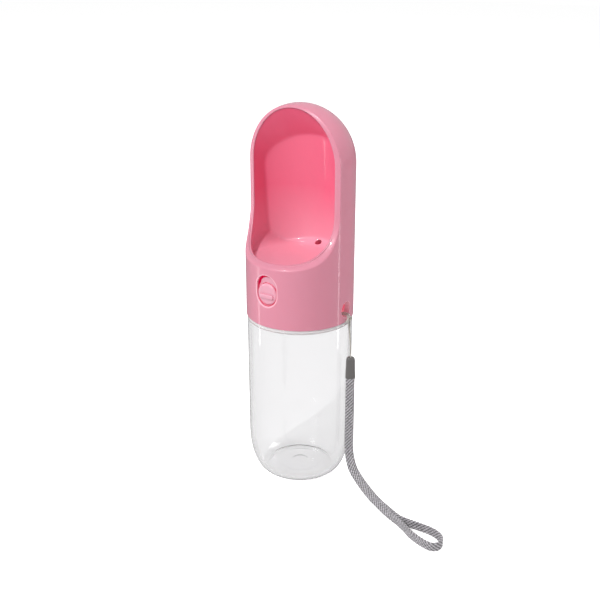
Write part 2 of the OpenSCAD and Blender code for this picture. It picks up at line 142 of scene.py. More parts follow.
class Paint:
    """A node material built step by step."""

    def __init__(self, name):
        self.mat = bpy.data.materials.new(name)
        self.mat.use_nodes = True
        self.nodes = self.mat.node_tree.nodes
        self.links = self.mat.node_tree.links
        self.shader = self.nodes["Principled BSDF"]
        self.coords = self.nodes.new("ShaderNodeTexCoord")

    def set(self, **values):
        for key, value in values.items():
            self.shader.inputs[key.replace("_", " ")].default_value = value

    def node(self, kind, **inputs):
        made = self.nodes.new("ShaderNode" + kind)
        for key, value in inputs.items():
            made.inputs[key.replace("_", " ")].default_value = value
        return made

    def join(self, a, b):
        self.links.new(a, b)

    def math(self, kind, a, b=0.0):
        return math_node(self.mat.node_tree, kind, a, b)

    def split(self, space):
        """The X, Y and Z sockets of the object's own coordinates or its UVs."""
        n = self.node("SeparateXYZ")
        self.join(self.coords.outputs[space], n.inputs["Vector"])
        return n.outputs

    def noise(self, scale, detail=4.0, roughness=0.55):
        n = self.node("TexNoise", Scale=scale, Detail=detail, Roughness=roughness)
        self.join(self.coords.outputs["Object"], n.inputs["Vector"])
        return n

    def spread(self, value, low, high, start=0.0, end=1.0):
        """Maps a value from start-end onto low-high."""
        n = self.node("MapRange")
        n.inputs["From Min"].default_value = start
        n.inputs["From Max"].default_value = end
        n.inputs["To Min"].default_value = low
        n.inputs["To Max"].default_value = high
        self.join(value, n.inputs["Value"])
        return n.outputs["Result"]

    def ramp(self, value, stops):
        n = self.node("ValToRGB")
        while len(n.color_ramp.elements) < len(stops):
            n.color_ramp.elements.new(0.5)
        for element, (place, colour) in zip(n.color_ramp.elements, stops):
            element.position = place
            element.color = (*colour, 1)
        self.join(value, n.inputs["Fac"])
        return n.outputs["Color"]

    def bump(self, value, strength, distance):
        n = self.node("Bump", Strength=strength, Distance=distance)
        self.join(value, n.inputs["Height"])
        if self.shader.inputs["Normal"].links:
            self.join(self.shader.inputs["Normal"].links[0].from_socket, n.inputs["Normal"])
        self.join(n.outputs["Normal"], self.shader.inputs["Normal"])


def srgb(r, g, b):
    """A colour given as 0-255 screen values, as a linear one."""

    def one(c):
        c /= 255
        return c / 12.92 if c <= 0.04045 else ((c + 0.055) / 1.055) ** 2.4

    return (one(r), one(g), one(b))


def toned(colour, gain):
    return tuple(min(1.0, c * gain) for c in colour)


PINK = srgb(214, 136, 156)
DEEP_PINK = srgb(233, 156, 176)
# Painted shade and painted light for the trough: a deeper pink at its shaded top, a paler one at
# its lit floor.
PAINTED_SHADE_TOP = srgb(238, 106, 138)
PAINTED_LIGHT_FLOOR = srgb(236, 164, 182)
SLIDE_PINK = srgb(224, 160, 178)
# Painted highlight on the slot's and the eye's thin edges and on the eye's wall.
EDGE_HIGHLIGHT_PINK = srgb(250, 190, 204)
# Painted glow in gaps, red and pale, standing in for light let through the pink plastic.
PAINTED_GLOW_RED = (0.28, 0.0, 0.03)
PAINTED_GLOW_PALE = (0.62, 0.56, 0.57)

# Painted glow in gaps, standing in for light let through the pink plastic: the reach of a gap's
# darkness, the openness where the glow is full and none, and the full glow.
NARROW_GAP = (0.005, 0.1, 0.6, 0.45)
DEEP_GAP = (0.04, 0.0, 0.3, 1.0)
# Heights over which the painted gap glow turns from pale to red.
GAP_PALE_UP_TO, GAP_RED_FROM = 0.1072, 0.1105
# Heights over which the trough's painted light and shade run, paler where lit at the floor and
# deeper where shaded at the top, and how far up the middle colour is.
TROUGH_FLOOR, TROUGH_TOP, TROUGH_MIDDLE = 0.122, 0.182, 0.42


def painted_edge_highlight(p, base, edge):
    """Painted highlight: the base colour, turned to the paler highlight colour where the edge
    attribute says.
    """
    edge_highlight = p.node("Attribute")
    edge_highlight.attribute_name = "edge"
    mix = p.node("Mix")
    mix.data_type = "RGBA"
    p.join(edge_highlight.outputs["Fac"], mix.inputs["Factor"])
    first, second = [socket for socket in mix.inputs if socket.type == "RGBA"]
    p.join(base, first)
    second.default_value = (*edge, 1)
    return [out for out in mix.outputs if out.type == "RGBA"][0]


def painted_gap_glow(p, glow, deep):
    """Painted glow in narrow gaps, or also in deep ones, standing in for light that the plastic
    lets through.
    """
    levels = []
    for reach, full, none, most in (NARROW_GAP, DEEP_GAP) if deep else (NARROW_GAP,):
        gap = p.node("AmbientOcclusion", Distance=reach)
        gap.samples = 8
        levels.append(p.spread(gap.outputs["AO"], most, 0.0, full, none))
    strength = p.math("MAXIMUM", *levels) if deep else levels[0]
    p.join(strength, p.shader.inputs["Emission Strength"])
    if deep:
        rise = p.spread(p.split("Object")["Z"], 0.0, 1.0, GAP_PALE_UP_TO, GAP_RED_FROM)
        p.join(p.ramp(rise, [(0.0, PAINTED_GLOW_PALE), (1.0, glow)]), p.shader.inputs["Emission Color"])
    else:
        p.set(Emission_Color=(*glow, 1))


def moulded(
    name, colour, rough=0.32, soft=0.0, coat=0.0, variety=0.03, grain=0.5,
    ends=None, edge=None, glow=None, deep=False,
):
    """Moulded plastic: faint flow mottling, fine grain and rub marks in its gloss.

    ends gives the trough's colours at its floor and its top, with painted light and
    shade, paler at the lit floor and deeper at the shaded top, in place of the
    mottling. edge is the colour of a painted highlight on thin edges, and glow that
    of a painted glow in gaps.
    """
    p = Paint(name)
    if ends:
        low, high = ends
        # Painted light and shade: paler towards the lit floor, deeper towards the shaded top.
        rise = p.spread(p.split("Object")["Z"], 0.0, 1.0, TROUGH_FLOOR, TROUGH_TOP)
        base = p.ramp(rise, [(0.0, low), (TROUGH_MIDDLE, colour), (1.0, high)])
    else:
        stops = [(0.3, toned(colour, 1 - variety)), (0.7, toned(colour, 1 + variety))]
        base = p.ramp(p.noise(35.0, 3.0).outputs["Fac"], stops)
    if edge:
        base = painted_edge_highlight(p, base, edge)
    p.join(base, p.shader.inputs["Base Color"])
    if glow:
        painted_gap_glow(p, glow, deep)
    rub = p.noise(240.0, 6.0, 0.7)
    gloss = p.spread(rub.outputs["Fac"], rough - 0.05, rough + 0.06, 0.3, 0.7)
    p.join(gloss, p.shader.inputs["Roughness"])
    p.bump(p.noise(1400.0, 2.0).outputs["Fac"], 0.05 * grain, 0.0001)
    p.set(IOR=1.46)
    if soft:
        p.set(Subsurface_Weight=soft, Subsurface_Radius=(0.006, 0.003, 0.003), Subsurface_Scale=0.5)
    if coat:
        p.set(Coat_Weight=coat, Coat_Roughness=0.05)
    return p.mat


# Heights over which the bottle turns from clear to clouded.
CLOUD_FROM, CLOUD_TO = 0.1042, 0.1054


def clear_plastic(name):
    """Clear plastic, clouded where the shoulder is thick."""
    p = Paint(name)
    haze = p.noise(60.0, 3.0)
    p.join(p.spread(haze.outputs["Fac"], 0.02, 0.07, 0.3, 0.7), p.shader.inputs["Roughness"])
    clear = p.spread(p.split("Object")["Z"], 1.0, 0.35, CLOUD_FROM, CLOUD_TO)
    p.join(clear, p.shader.inputs["Transmission Weight"])
    p.set(Base_Color=(0.97, 0.968, 0.972, 1), IOR=1.45)
    p.bump(p.noise(22.0, 2.0).outputs["Fac"], 0.03, 0.001)
    depth = p.node("VolumeAbsorption", Color=(0.8, 0.79, 0.8, 1), Density=40.0)
    p.join(depth.outputs["Volume"], p.nodes["Material Output"].inputs["Volume"])
    return p.mat


def brushed(name, colour):
    """Metal with a fine grain in its colour and gloss."""
    p = Paint(name)
    flow = p.noise(600.0, 2.0)
    p.join(
        p.ramp(flow.outputs["Fac"], [(0.3, toned(colour, 0.85)), (0.7, colour)]),
        p.shader.inputs["Base Color"],
    )
    p.join(p.spread(flow.outputs["Fac"], 0.22, 0.4, 0.3, 0.7), p.shader.inputs["Roughness"])
    p.set(Metallic=1.0)
    p.bump(flow.outputs["Fac"], 0.1, 0.0001)
    return p.mat


def rubber(name, colour):
    """Matt rubber or silicone, slightly uneven."""
    p = Paint(name)
    n = p.noise(400.0, 4.0)
    p.join(
        p.ramp(n.outputs["Fac"], [(0.3, toned(colour, 0.85)), (0.7, toned(colour, 1.1))]),
        p.shader.inputs["Base Color"],
    )
    p.join(p.spread(n.outputs["Fac"], 0.55, 0.75, 0.3, 0.7), p.shader.inputs["Roughness"])
    p.bump(n.outputs["Fac"], 0.15, 0.0001)
    return p.mat


def woven(name, colour, ribs, pick_length):
    """Flat woven tape with slanted ribs, from UVs that run 0-1 across and in metres along."""
    p = Paint(name)
    place = p.split("UV")
    across = p.math("MULTIPLY", place["X"], 2 * math.pi * ribs)
    along = p.math("MULTIPLY", place["Y"], 2 * math.pi / pick_length)
    twill = p.math("SINE", p.math("ADD", across, along))
    cross = p.math("SINE", p.math("SUBTRACT", across, along))
    weave = p.math("ADD", twill, p.math("MULTIPLY", cross, 0.3))
    fuzz = p.noise(1100.0, 2.0)
    both = p.math("ADD", p.math("MULTIPLY", weave, 0.26), fuzz.outputs["Fac"])
    p.join(
        p.ramp(both, [(0.15, toned(colour, 0.22)), (0.5, colour), (0.85, toned(colour, 2.1))]),
        p.shader.inputs["Base Color"],
    )
    p.set(Roughness=0.85, Sheen_Weight=0.25, Sheen_Roughness=0.5)
    p.bump(both, 0.6, 0.0003)
    return p.mat


def twisted(name, colour, scale):
    """Two-ply string: slanted strands from the curve's UVs, with loose fibre noise."""
    p = Paint(name)
    wave = p.node("TexWave", Scale=1.0, Distortion=0.8)
    wave.bands_direction = "DIAGONAL"
    mapping = p.node("Mapping", Scale=(scale, 1.0, 1.0))
    p.join(p.coords.outputs["UV"], mapping.inputs["Vector"])
    p.join(mapping.outputs["Vector"], wave.inputs["Vector"])
    p.join(
        p.ramp(wave.outputs["Fac"], [(0.1, toned(colour, 0.72)), (0.6, colour)]),
        p.shader.inputs["Base Color"],
    )
    p.set(Roughness=0.8, Sheen_Weight=0.3)
    p.bump(wave.outputs["Fac"], 0.8, 0.0003)
    p.bump(p.noise(3000.0, 2.0).outputs["Fac"], 0.3, 0.0001)
    return p.mat


# What the plastic pieces of the head's outside have in common, including a painted glow in their
# gaps.
OUTSIDE = {"soft": 0.12, "variety": 0.012, "grain": 0.1, "glow": PAINTED_GLOW_RED, "deep": True}

FINISH = {
    "shell_plastic": moulded(
        "shell_plastic", PINK, rough=0.38, coat=0.5, edge=EDGE_HIGHLIGHT_PINK, **OUTSIDE
    ),
    # The trough's lining, with painted light at its floor, painted shade at its top and a painted
    # glow in its narrow gaps.
    "liner_plastic": moulded(
        "liner_plastic", DEEP_PINK, rough=0.34, coat=0.5, grain=0.05,
        ends=(PAINTED_LIGHT_FLOOR, PAINTED_SHADE_TOP), glow=PAINTED_GLOW_RED,
    ),
    "slide_plastic": moulded("slide_plastic", SLIDE_PINK, rough=0.38, coat=0.4, **OUTSIDE),
    "inner_plastic": moulded(
        "inner_plastic", srgb(222, 205, 205), rough=0.45, glow=PAINTED_GLOW_RED, deep=True
    ),
    "clear_plastic": clear_plastic("clear_plastic"),
    "silicone": rubber("silicone", srgb(222, 222, 220)),
    "rubber": rubber("rubber", srgb(45, 45, 46)),
    "steel": brushed("steel", (0.62, 0.62, 0.63)),
    "string": twisted("string", srgb(246, 241, 231), scale=900.0),
    "ferrule_plastic": moulded(
        "ferrule_plastic", srgb(104, 101, 100), rough=0.36, coat=0.4, grain=0.6
    ),
    "webbing": woven("webbing", srgb(146, 143, 147), ribs=2.6, pick_length=2.2 * MM),
}

for part in frame["record"]["subparts"]:
    node = frame["nodes"][part["node"]]
    node.data.materials.clear()
    node.data.materials.append(FINISH[part["material_slot"]])


def dress(obj, slot, body):
    """Gives a piece its material slot, its finish and the body it rides on."""
    obj.data.materials.clear()
    obj.data.materials.append(FINISH[slot])
    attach(obj, body)


# ---------------------------------------------------------------- shape tools


def unit_rows(v):
    return v / np.maximum(np.linalg.norm(v, axis=-1, keepdims=True), 1e-12)


def smoothstep(low, high, x):
    t = np.clip((x - low) / (high - low), 0, 1)
    return t * t * (3 - 2 * t)


def bisect(value, low, high, rounds=40):
    """Row by row, where value(t) turns from positive at low to negative at high."""
    for _ in range(rounds):
        mid = (low + high) / 2
        keep = value(mid) > 0
        low = np.where(keep, mid, low)
        high = np.where(keep, high, mid)
    return (low + high) / 2


def ring_angles(count):
    """So many angles, evenly round a circle."""
    return np.arange(count) * 2 * math.pi / count


def same_rows(p, direction):
    """One direction, repeated for each point."""
    return np.tile(direction, (len(p), 1))


SLOPE_STEP = 0.01
FILLET_STEPS = 5


def slope(field, points):
    """Direction in which a field rises fastest."""
    out = np.empty_like(points)
    for k in range(3):
        d = np.zeros(3)
        d[k] = SLOPE_STEP
        out[:, k] = field(points + d) - field(points - d)
    return unit_rows(out)


def trimmed_grid(place, us, vs, keep, tip=None):
    """Cuts a grid that is closed in u and open in v where keep turns negative.

    Returns the positions, the faces and the boundary loops. With a tip, a fan
    closes the last row.
    """
    nu, nv = len(us), len(vs)
    period = us[1] - us[0]
    uv = [(us[j], vs[i]) for i in range(nv) for j in range(nu)]
    grid = place(np.array(uv))
    kept = keep(grid) > 0
    cuts, ends = {}, []

    def cut(a, b):
        key = (min(a, b), max(a, b))
        if key not in cuts:
            cuts[key] = len(cuts)
            inside, outside = (a, b) if kept[a] else (b, a)
            p, q = list(uv[inside]), list(uv[outside])
            if q[0] - p[0] > 2 * period:
                q[0] -= nu * period
            if p[0] - q[0] > 2 * period:
                q[0] += nu * period
            ends.append((p, q))
        return -1 - cuts[key]

    faces = []
    for i in range(nv - 1):
        for j in range(nu):
            low, high, m = i * nu, (i + 1) * nu, (j + 1) % nu
            ring = [low + j, low + m, high + m, high + j]
            face = []
            for a, b in zip(ring, ring[1:] + ring[:1]):
                if kept[a]:
                    face.append(a)
                if kept[a] != kept[b]:
                    face.append(cut(a, b))
            if len(face) > 2:
                faces.append(face)
    if ends:
        p = np.array([e[0] for e in ends])
        q = np.array([e[1] for e in ends])
        ones = np.ones(len(ends))
        t = bisect(lambda s: keep(place(p + (q - p) * s[:, None])), 0 * ones, ones, rounds=30)
        grid = np.vstack([grid, place(p + (q - p) * t[:, None])])
    if tip is not None:
        grid = np.vstack([grid, [tip]])
        top = (nv - 1) * nu
        faces += [[top + j, top + (j + 1) % nu, len(grid) - 1] for j in range(nu)]
    total = nu * nv
    used = sorted({total - 1 - k if k < 0 else k for f in faces for k in f})
    order = {old: new for new, old in enumerate(used)}
    faces = [[order[total - 1 - k if k < 0 else k] for k in f] for f in faces]
    step = {}
    inner = {(b, a) for f in faces for a, b in zip(f, f[1:] + f[:1])}
    for f in faces:
        for a, b in zip(f, f[1:] + f[:1]):
            if (a, b) not in inner:
                step[a] = b
    loops = []
    while step:
        start = next(iter(step))
        loop, k = [], start
        while k in step:
            loop.append(k)
            k = step.pop(k)
        loops.append(loop)
    return grid[used], faces, loops


def skin_piece(name, points, normals, faces, loops, thick, edge):
    """A closed wall: an outer skin, its offset, and edge(points, normals) rings at each loop, each
    ring with a painted highlight level kept in the edge attribute.
    """
    n = len(points)
    verts = [points, points - normals * thick]
    norms = [normals, -normals]
    highlight_level = [np.zeros(2 * n)]
    all_faces = list(faces) + [[n + k for k in reversed(f)] for f in faces]
    count = 2 * n
    for loop in loops:
        idx = np.array(loop)
        last = list(loop)
        for ring, ring_normals, highlight in edge(points[idx], normals[idx]):
            verts.append(ring)
            norms.append(ring_normals)
            highlight_level.append(np.full(len(loop), highlight))
            fresh = list(range(count, count + len(loop)))
            count += len(loop)
            for k in range(len(loop)):
                m = (k + 1) % len(loop)
                all_faces.append([last[m], last[k], fresh[k], fresh[m]])
            last = fresh
        for k in range(len(loop)):
            m = (k + 1) % len(loop)
            all_faces.append([last[m], last[k], n + loop[k], n + loop[m]])
    verts = np.vstack(verts)
    norms = unit_rows(np.vstack(norms))
    obj = add_mesh(name, verts * MM, all_faces)
    obj.data.normals_split_custom_set_from_vertices([tuple(v) for v in norms])
    edge_highlight = obj.data.attributes.new("edge", "FLOAT", "POINT")
    edge_highlight.data.foreach_set("value", np.concatenate(highlight_level))
    return obj


def eased(corners):
    """Outline points from (r, z, fillet radius) corners, ends kept as they are."""
    out = [corners[0][:2]]
    for before, here, after in zip(corners, corners[1:], corners[2:]):
        p = np.array(here[:2], float)
        if not here[2]:
            out.append(tuple(p))
            continue
        a = np.array(before[:2], float) - p
        b = np.array(after[:2], float) - p
        la, lb = np.linalg.norm(a), np.linalg.norm(b)
        a, b = a / la, b / lb
        half = math.acos(max(-1.0, min(1.0, float(a @ b)))) / 2
        reach = min(here[2] / math.tan(half), 0.49 * la, 0.49 * lb)
        start, end = p + a * reach, p + b * reach
        for k in range(FILLET_STEPS + 1):
            t = k / FILLET_STEPS
            out.append(tuple((1 - t) ** 2 * start + 2 * t * (1 - t) * p + t * t * end))
    out.append(corners[-1][:2])
    return out


def lathe(outline, segments, axis="Z", centre=(0, 0, 0)):
    """Verts and faces of an outline turned about an axis, in mm."""
    verts, faces, rings = [], [], []
    for r, h in outline:
        if r < 1e-6:
            rings.append([len(verts)] * segments)
            ring = [(0, 0, h)]
        else:
            rings.append(list(range(len(verts), len(verts) + segments)))
            angles = (2 * math.pi * k / segments for k in range(segments))
            ring = [(r * math.cos(a), r * math.sin(a), h) for a in angles]
        verts += ring
    for low, high in zip(rings, rings[1:]):
        for k in range(segments):
            m = (k + 1) % segments
            face = [low[k], low[m], high[m], high[k]]
            face = [v for q, v in enumerate(face) if v != face[q - 1]]
            if len(face) > 2:
                faces.append(face)
    if axis == "-Y":
        verts = [(x, -h, y) for x, y, h in verts]
    return [tuple(a + b for a, b in zip(v, centre)) for v in verts], faces


def merged(*pieces):
    """Joins several (verts, faces) into one."""
    verts, faces = [], []
    for more_verts, more_faces in pieces:
        faces += [[k + len(verts) for k in f] for f in more_faces]
        verts += list(more_verts)
    return verts, faces


# ---------------------------------------------------------------- head shell and trough, in mm

RIM_Z = 107.0
SIDE_H, DOME_Z, DOME_H, DOME_RUN = 93.0, 200.0, 35.0, 53.0
HEAD_R = 33.0
SHELL_WALL, LINER_WALL = 1.5, 1.4
CUT_Y, CUT_R, CUT_C = -7.0, 28.0, (-35.0, 174.0)
SLOT_X, SLOT_R, SLOT_LOW, SLOT_HIGH = -1.4, 7.3, 127.2, 131.7
SLOT_EASE = 1.0
EYE_Y, EYE_Z, EYE_R = 1.6, 114.7, 4.9
OUTLET_Y, OUTLET_Z, OUTLET_R, OUTLET_LEAN = 19.5, 146.6, 2.1, math.radians(25)
OUTLET_EASE, OUTLET_STEPS, OUTLET_DEPTH, OUTLET_BELOW = 0.3, 4, 8, 155
# The edges' easing, its steps, and the strength of their painted highlight.
EDGE_EASE, EDGE_STEPS, EDGE_HIGHLIGHT = 0.5, 6, 0.8
RIM_WIDE, RIM_NARROWER, RIM_WIDE_UP_TO, RIM_NARROW_FROM = 3.1, 1.9, 148, 166
LINER_SET_BACK = 0.6
# What a distance is given as on the side of the head that has no such opening.
FAR = 50.0

# The trough's hollow: side wall, leaning back wall, arch, floor and flanks.
POCKET_R, POCKET_WIDER, POCKET_R_UP_TO, POCKET_WIDE_FROM = 29.5, 0.53, 152, 172
BACK_LEAN, BACK_Y, BACK_Z, BACK_R = math.radians(4.5), -18, 214, 35
ARCH_LEAN, ARCH_Y, ARCH_Z = math.radians(38.2), -7, 200
ARCH_W, ARCH_H, ARCH_MEAN = 29.2, 32.9, 27
FLOOR_LEAN, FLOOR_Y, FLOOR_Z = math.radians(1.3), 13, 144.8
FLANK_X, FLANK_Z = 15.5, 143.8
BEND_R = 14
WALL_SHARP, BACK_SHARP = 4.0, 2.0


def head_place(uv):
    """Places on the head's skin, from the angle round it and the way up its side and dome."""
    u, v = uv[:, 0], uv[:, 1]
    phi = np.clip((v - SIDE_H) / DOME_RUN, 0, 1) * math.pi / 2
    r = HEAD_R * np.cos(phi)
    z = RIM_Z + np.minimum(v, SIDE_H) + DOME_H * np.sin(phi)
    return np.stack([r * np.cos(u), r * np.sin(u), z], axis=1)


def head_normal(p):
    up = np.maximum(p[:, 2] - DOME_Z, 0) / DOME_H**2
    return unit_rows(np.stack([p[:, 0] / HEAD_R**2, p[:, 1] / HEAD_R**2, up], axis=1))


def behind_cut(p):
    """Distance behind the opening's cut: a plane above, and a round bite below."""
    y, z = p[:, 1], p[:, 2]
    round_part = np.hypot(y - CUT_C[0], z - CUT_C[1]) - CUT_R
    return np.where(z > CUT_C[1], y - CUT_Y, round_part)


def rim_reach(p):
    """How wide the rim's sloping band is, by height."""
    return RIM_WIDE - RIM_NARROWER * smoothstep(RIM_WIDE_UP_TO, RIM_NARROW_FROM, p[:, 2])


def from_opening(p):
    return behind_cut(p) - rim_reach(p)


def from_slot(p):
    """Distance outside the button's slot and its eased edge."""
    along = np.clip(p[:, 2], SLOT_LOW, SLOT_HIGH)
    d = np.hypot(p[:, 0] - SLOT_X, p[:, 2] - along) - SLOT_R - SLOT_EASE
    return np.where(p[:, 1] < 0, d, FAR)


def from_eye(p):
    """Distance outside the lanyard's eye and its eased edge."""
    d = np.hypot(p[:, 1] - EYE_Y, p[:, 2] - EYE_Z) - EYE_R - EDGE_EASE
    return np.where(p[:, 0] > 0, d, FAR)


def soft_max(fields, sharp):
    """The largest of the fields, blended where they are nearly equal."""
    f = np.stack(fields)
    top = f.max(axis=0)
    return top + np.log(np.exp(sharp * (f - top)).sum(axis=0)) / sharp


def bend(across, up):
    """A floor that turns up into a wall through a bend."""
    corner = np.hypot(across, up - BEND_R) - BEND_R
    return np.where(across <= 0, -up, np.where(up < BEND_R, corner, across - BEND_R))


def pocket(p):
    """Below zero inside the trough's hollow: a soft maximum of its five bounding shapes."""
    x, y, z = p[:, 0], p[:, 1], p[:, 2]
    wider = POCKET_WIDER * smoothstep(POCKET_R_UP_TO, POCKET_WIDE_FROM, z)
    side = np.hypot(x, y) - POCKET_R - wider
    off = (y - BACK_Y) * math.cos(BACK_LEAN) + (z - BACK_Z) * math.sin(BACK_LEAN)
    back = np.hypot(x, off) - BACK_R
    v = np.maximum((y - ARCH_Y) * math.sin(ARCH_LEAN) + (z - ARCH_Z) * math.cos(ARCH_LEAN), 0)
    arch = (np.hypot(x / ARCH_W, v / (ARCH_H * math.cos(ARCH_LEAN))) - 1) * ARCH_MEAN
    c, s = math.cos(FLOOR_LEAN), math.sin(FLOOR_LEAN)
    dy, dz = y - FLOOR_Y, z - FLOOR_Z
    ground = bend(dy * c - dz * s, dy * s + dz * c)
    flank = bend(np.abs(x) - FLANK_X, z - FLANK_Z)
    walls = soft_max([side, arch, flank, ground], WALL_SHARP)
    return soft_max([walls, back], BACK_SHARP)


def tangent_dir(field, p, n):
    """Along the skin, towards where the field falls."""
    d = -slope(field, p)
    return unit_rows(d - (d * n).sum(axis=1, keepdims=True) * n)


def rounded_edge(p, d, e, n, reach, depth, steps, highlight_level=0.0):
    """Rings of a quarter ellipse from the skin's edge, reach along d and depth along e, with a
    painted highlight that peaks midway round.
    """
    for k in range(1, steps + 1):
        a = math.pi / 2 * k / steps
        ring = p + d * reach * math.sin(a) + e * depth * (1 - math.cos(a))
        highlight = highlight_level * math.sin(2 * a) ** 0.5 if k < steps else 0.0
        yield ring, unit_rows(n * reach * math.cos(a) + d * depth * math.sin(a)), highlight


def bent(a, b, c, steps):
    """Points and directions along a curve from a to c that heads for b."""
    a, b, c = (np.array(v, float) for v in (a, b, c))
    for k in range(1, steps + 1):
        t = k / steps
        yield (1 - t) ** 2 * a + 2 * t * (1 - t) * b + t * t * c, (1 - t) * (b - a) + t * (c - b)


RIM_STEPS = 5
RIM_OUTLINE = list(bent((0, 0), (0.22, 0), (0.46, 0.26), RIM_STEPS))
RIM_OUTLINE += list(bent((0.82, 0.66), (1, 0.86), (1, 1), RIM_STEPS))


def chamfered_edge(p, d, e, n, reach, depth):
    """Rings of a flat sloping band between two small rounded edges."""
    for (x, y), (dx, dy) in RIM_OUTLINE:
        yield p + d * reach * x + e * depth * y, unit_rows(n * reach * dx + d * depth * dy), 0.0


SLOT_DEPTH, SLOT_DROP, EYE_DEPTH, BOTTOM_EASE, BOTTOM_STEPS = 1.6, 0.55, 4.0, 0.3, 3
LIP_EASE, LIP_SHARE, LIP_TURN, LIP_STEPS = 0.4, 0.3, math.radians(75), 4
LIP_WITHIN, WALL_WITHIN = 8, 9
EYE_BAND = 0.1
# How far the lip's last two rings lie back from its edge and out behind the liner.
TUCK_BACK, TUCK_OUT, TUCK_END = 0.35, 0.3, 0.8


def opening_edge(p, n):
    """The lip: a sloping band, then a rounding that dives outward behind the liner's edge."""
    zero = np.zeros(len(p))
    d = tangent_dir(behind_cut, p, n)
    reach = bisect(lambda s: behind_cut(p + d * s[:, None]), zero, zero + LIP_WITHIN)[:, None]
    q = p + d * reach
    g = slope(behind_cut, q)
    e = unit_rows((n * g).sum(axis=1, keepdims=True) * g - n)
    wall = bisect(lambda s: pocket(q + e * s[:, None]), zero, zero + WALL_WITHIN)[:, None]
    ease = np.minimum(LIP_EASE, wall * LIP_SHARE)
    yield from chamfered_edge(p, d, e, n, reach, wall - ease)
    q1 = q + e * (wall - ease)
    for k in range(1, LIP_STEPS + 1):
        b = LIP_TURN * k / LIP_STEPS
        ring = q1 + e * ease * math.sin(b) + g * ease * (1 - math.cos(b))
        yield ring, unit_rows(e * math.sin(b) - g * math.cos(b)), 0.0
    yield q1 + e * (ease - TUCK_BACK) + g * (ease + TUCK_OUT), e, 0.0
    yield q + e * np.minimum(wall, SHELL_WALL) + g * (ease + TUCK_END), g, 0.0


def slot_edge(p, n):
    d, inward = tangent_dir(from_slot, p, n), same_rows(p, [0, 1.0, 0])
    # A painted highlight along the slot's rounded edge.
    yield from rounded_edge(p, d, inward, n, SLOT_EASE, SLOT_DROP, EDGE_STEPS, EDGE_HIGHLIGHT)
    yield p + d * SLOT_EASE + inward * SLOT_DEPTH, d, 0.0


def eye_edge(p, n):
    d, inward = tangent_dir(from_eye, p, n), same_rows(p, [-1.0, 0, 0])
    # A painted highlight along the eye's rounded edge, and a full painted highlight over its wall.
    yield from rounded_edge(p, d, inward, n, EDGE_EASE, EDGE_EASE, EDGE_STEPS, EDGE_HIGHLIGHT)
    yield p + d * EDGE_EASE + inward * (EDGE_EASE + EYE_BAND), d, 1.0
    yield p + d * EDGE_EASE + inward * EYE_DEPTH, d, 1.0
    yield p + inward * EYE_DEPTH, inward, 0.0


def bottom_edge(p, n):
    down = same_rows(p, [0, 0, -1.0])
    for k in range(1, BOTTOM_STEPS + 1):
        a = math.pi / 2 * k / BOTTOM_STEPS
        ring = p - n * BOTTOM_EASE * (1 - math.cos(a))
        yield ring, unit_rows(n * math.cos(a) + down * math.sin(a)), 0.0


def shell_edge(p, n):
    """Rings for whichever of the shell's edges the points lie on."""
    off_slot, off_eye = np.abs(from_slot(p)), np.abs(from_eye(p))
    fields = np.stack([np.abs(from_opening(p)), off_slot, off_eye, p[:, 2] - RIM_Z])
    kind = int(np.median(fields.argmin(axis=0)))
    return (opening_edge, slot_edge, eye_edge, bottom_edge)[kind](p, n)


HEAD_SIDES, SIDE_ROWS, DOME_ROWS = 288, 63, 30

dome_vs = SIDE_H + DOME_RUN * np.linspace(0, 1, DOME_ROWS)[1:-1]
head_vs = np.concatenate([np.linspace(0, SIDE_H, SIDE_ROWS), dome_vs])
shell_points, shell_faces, shell_loops = trimmed_grid(
    head_place, ring_angles(HEAD_SIDES), head_vs,
    lambda p: np.minimum(np.minimum(from_opening(p), from_slot(p)), from_eye(p)),
    tip=[0, 0, DOME_Z + DOME_H],
)
shell = skin_piece(
    "shell_look", shell_points, head_normal(shell_points), shell_faces, shell_loops,
    SHELL_WALL, shell_edge,
)
dress(shell, "shell_plastic", "head")
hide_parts("head_shell")

# The trough's surface is found along rays from a point in its hollow, turned about +Y.
POCKET_EYE = np.array([0, -10.0, 185.0])
POCKET_REACH = 90
POCKET_SIDES, POCKET_ROWS = 320, 110
POCKET_MOUTH, POCKET_TIP = math.radians(126), math.radians(1.2)


def pocket_place(uv):
    u, v = uv[:, 0], uv[:, 1]
    d = np.stack([np.sin(v) * np.cos(u), np.cos(v), np.sin(v) * np.sin(u)], axis=1)
    zero = np.zeros(len(u))
    t = bisect(lambda s: -pocket(POCKET_EYE + d * s[:, None]), zero, zero + POCKET_REACH, rounds=34)
    return POCKET_EYE + d * t[:, None]


def from_outlet(p):
    """Distance from the outlet's axis, which leans square to the curve that it opens in."""
    axis = np.array([0, math.sin(OUTLET_LEAN), -math.cos(OUTLET_LEAN)])
    off = p - np.array([0, OUTLET_Y, OUTLET_Z])
    off = off - (off @ axis)[:, None] * axis
    d = np.linalg.norm(off, axis=1) - OUTLET_R - OUTLET_EASE
    return np.where(p[:, 2] < OUTLET_BELOW, d, FAR)


def liner_edge(p, n):
    """Rings for the outlet's edge; the edge at the opening goes straight to the back."""
    if np.abs(from_outlet(p)).mean() > 0.5:
        return
    d = tangent_dir(from_outlet, p, n)
    down = same_rows(p, [0, 0, -1.0])
    yield from rounded_edge(p, d, down, n, OUTLET_EASE, OUTLET_EASE, OUTLET_STEPS)
    yield p + d * OUTLET_EASE + down * OUTLET_DEPTH, d, 0.0
    yield p + down * OUTLET_DEPTH, down, 0.0


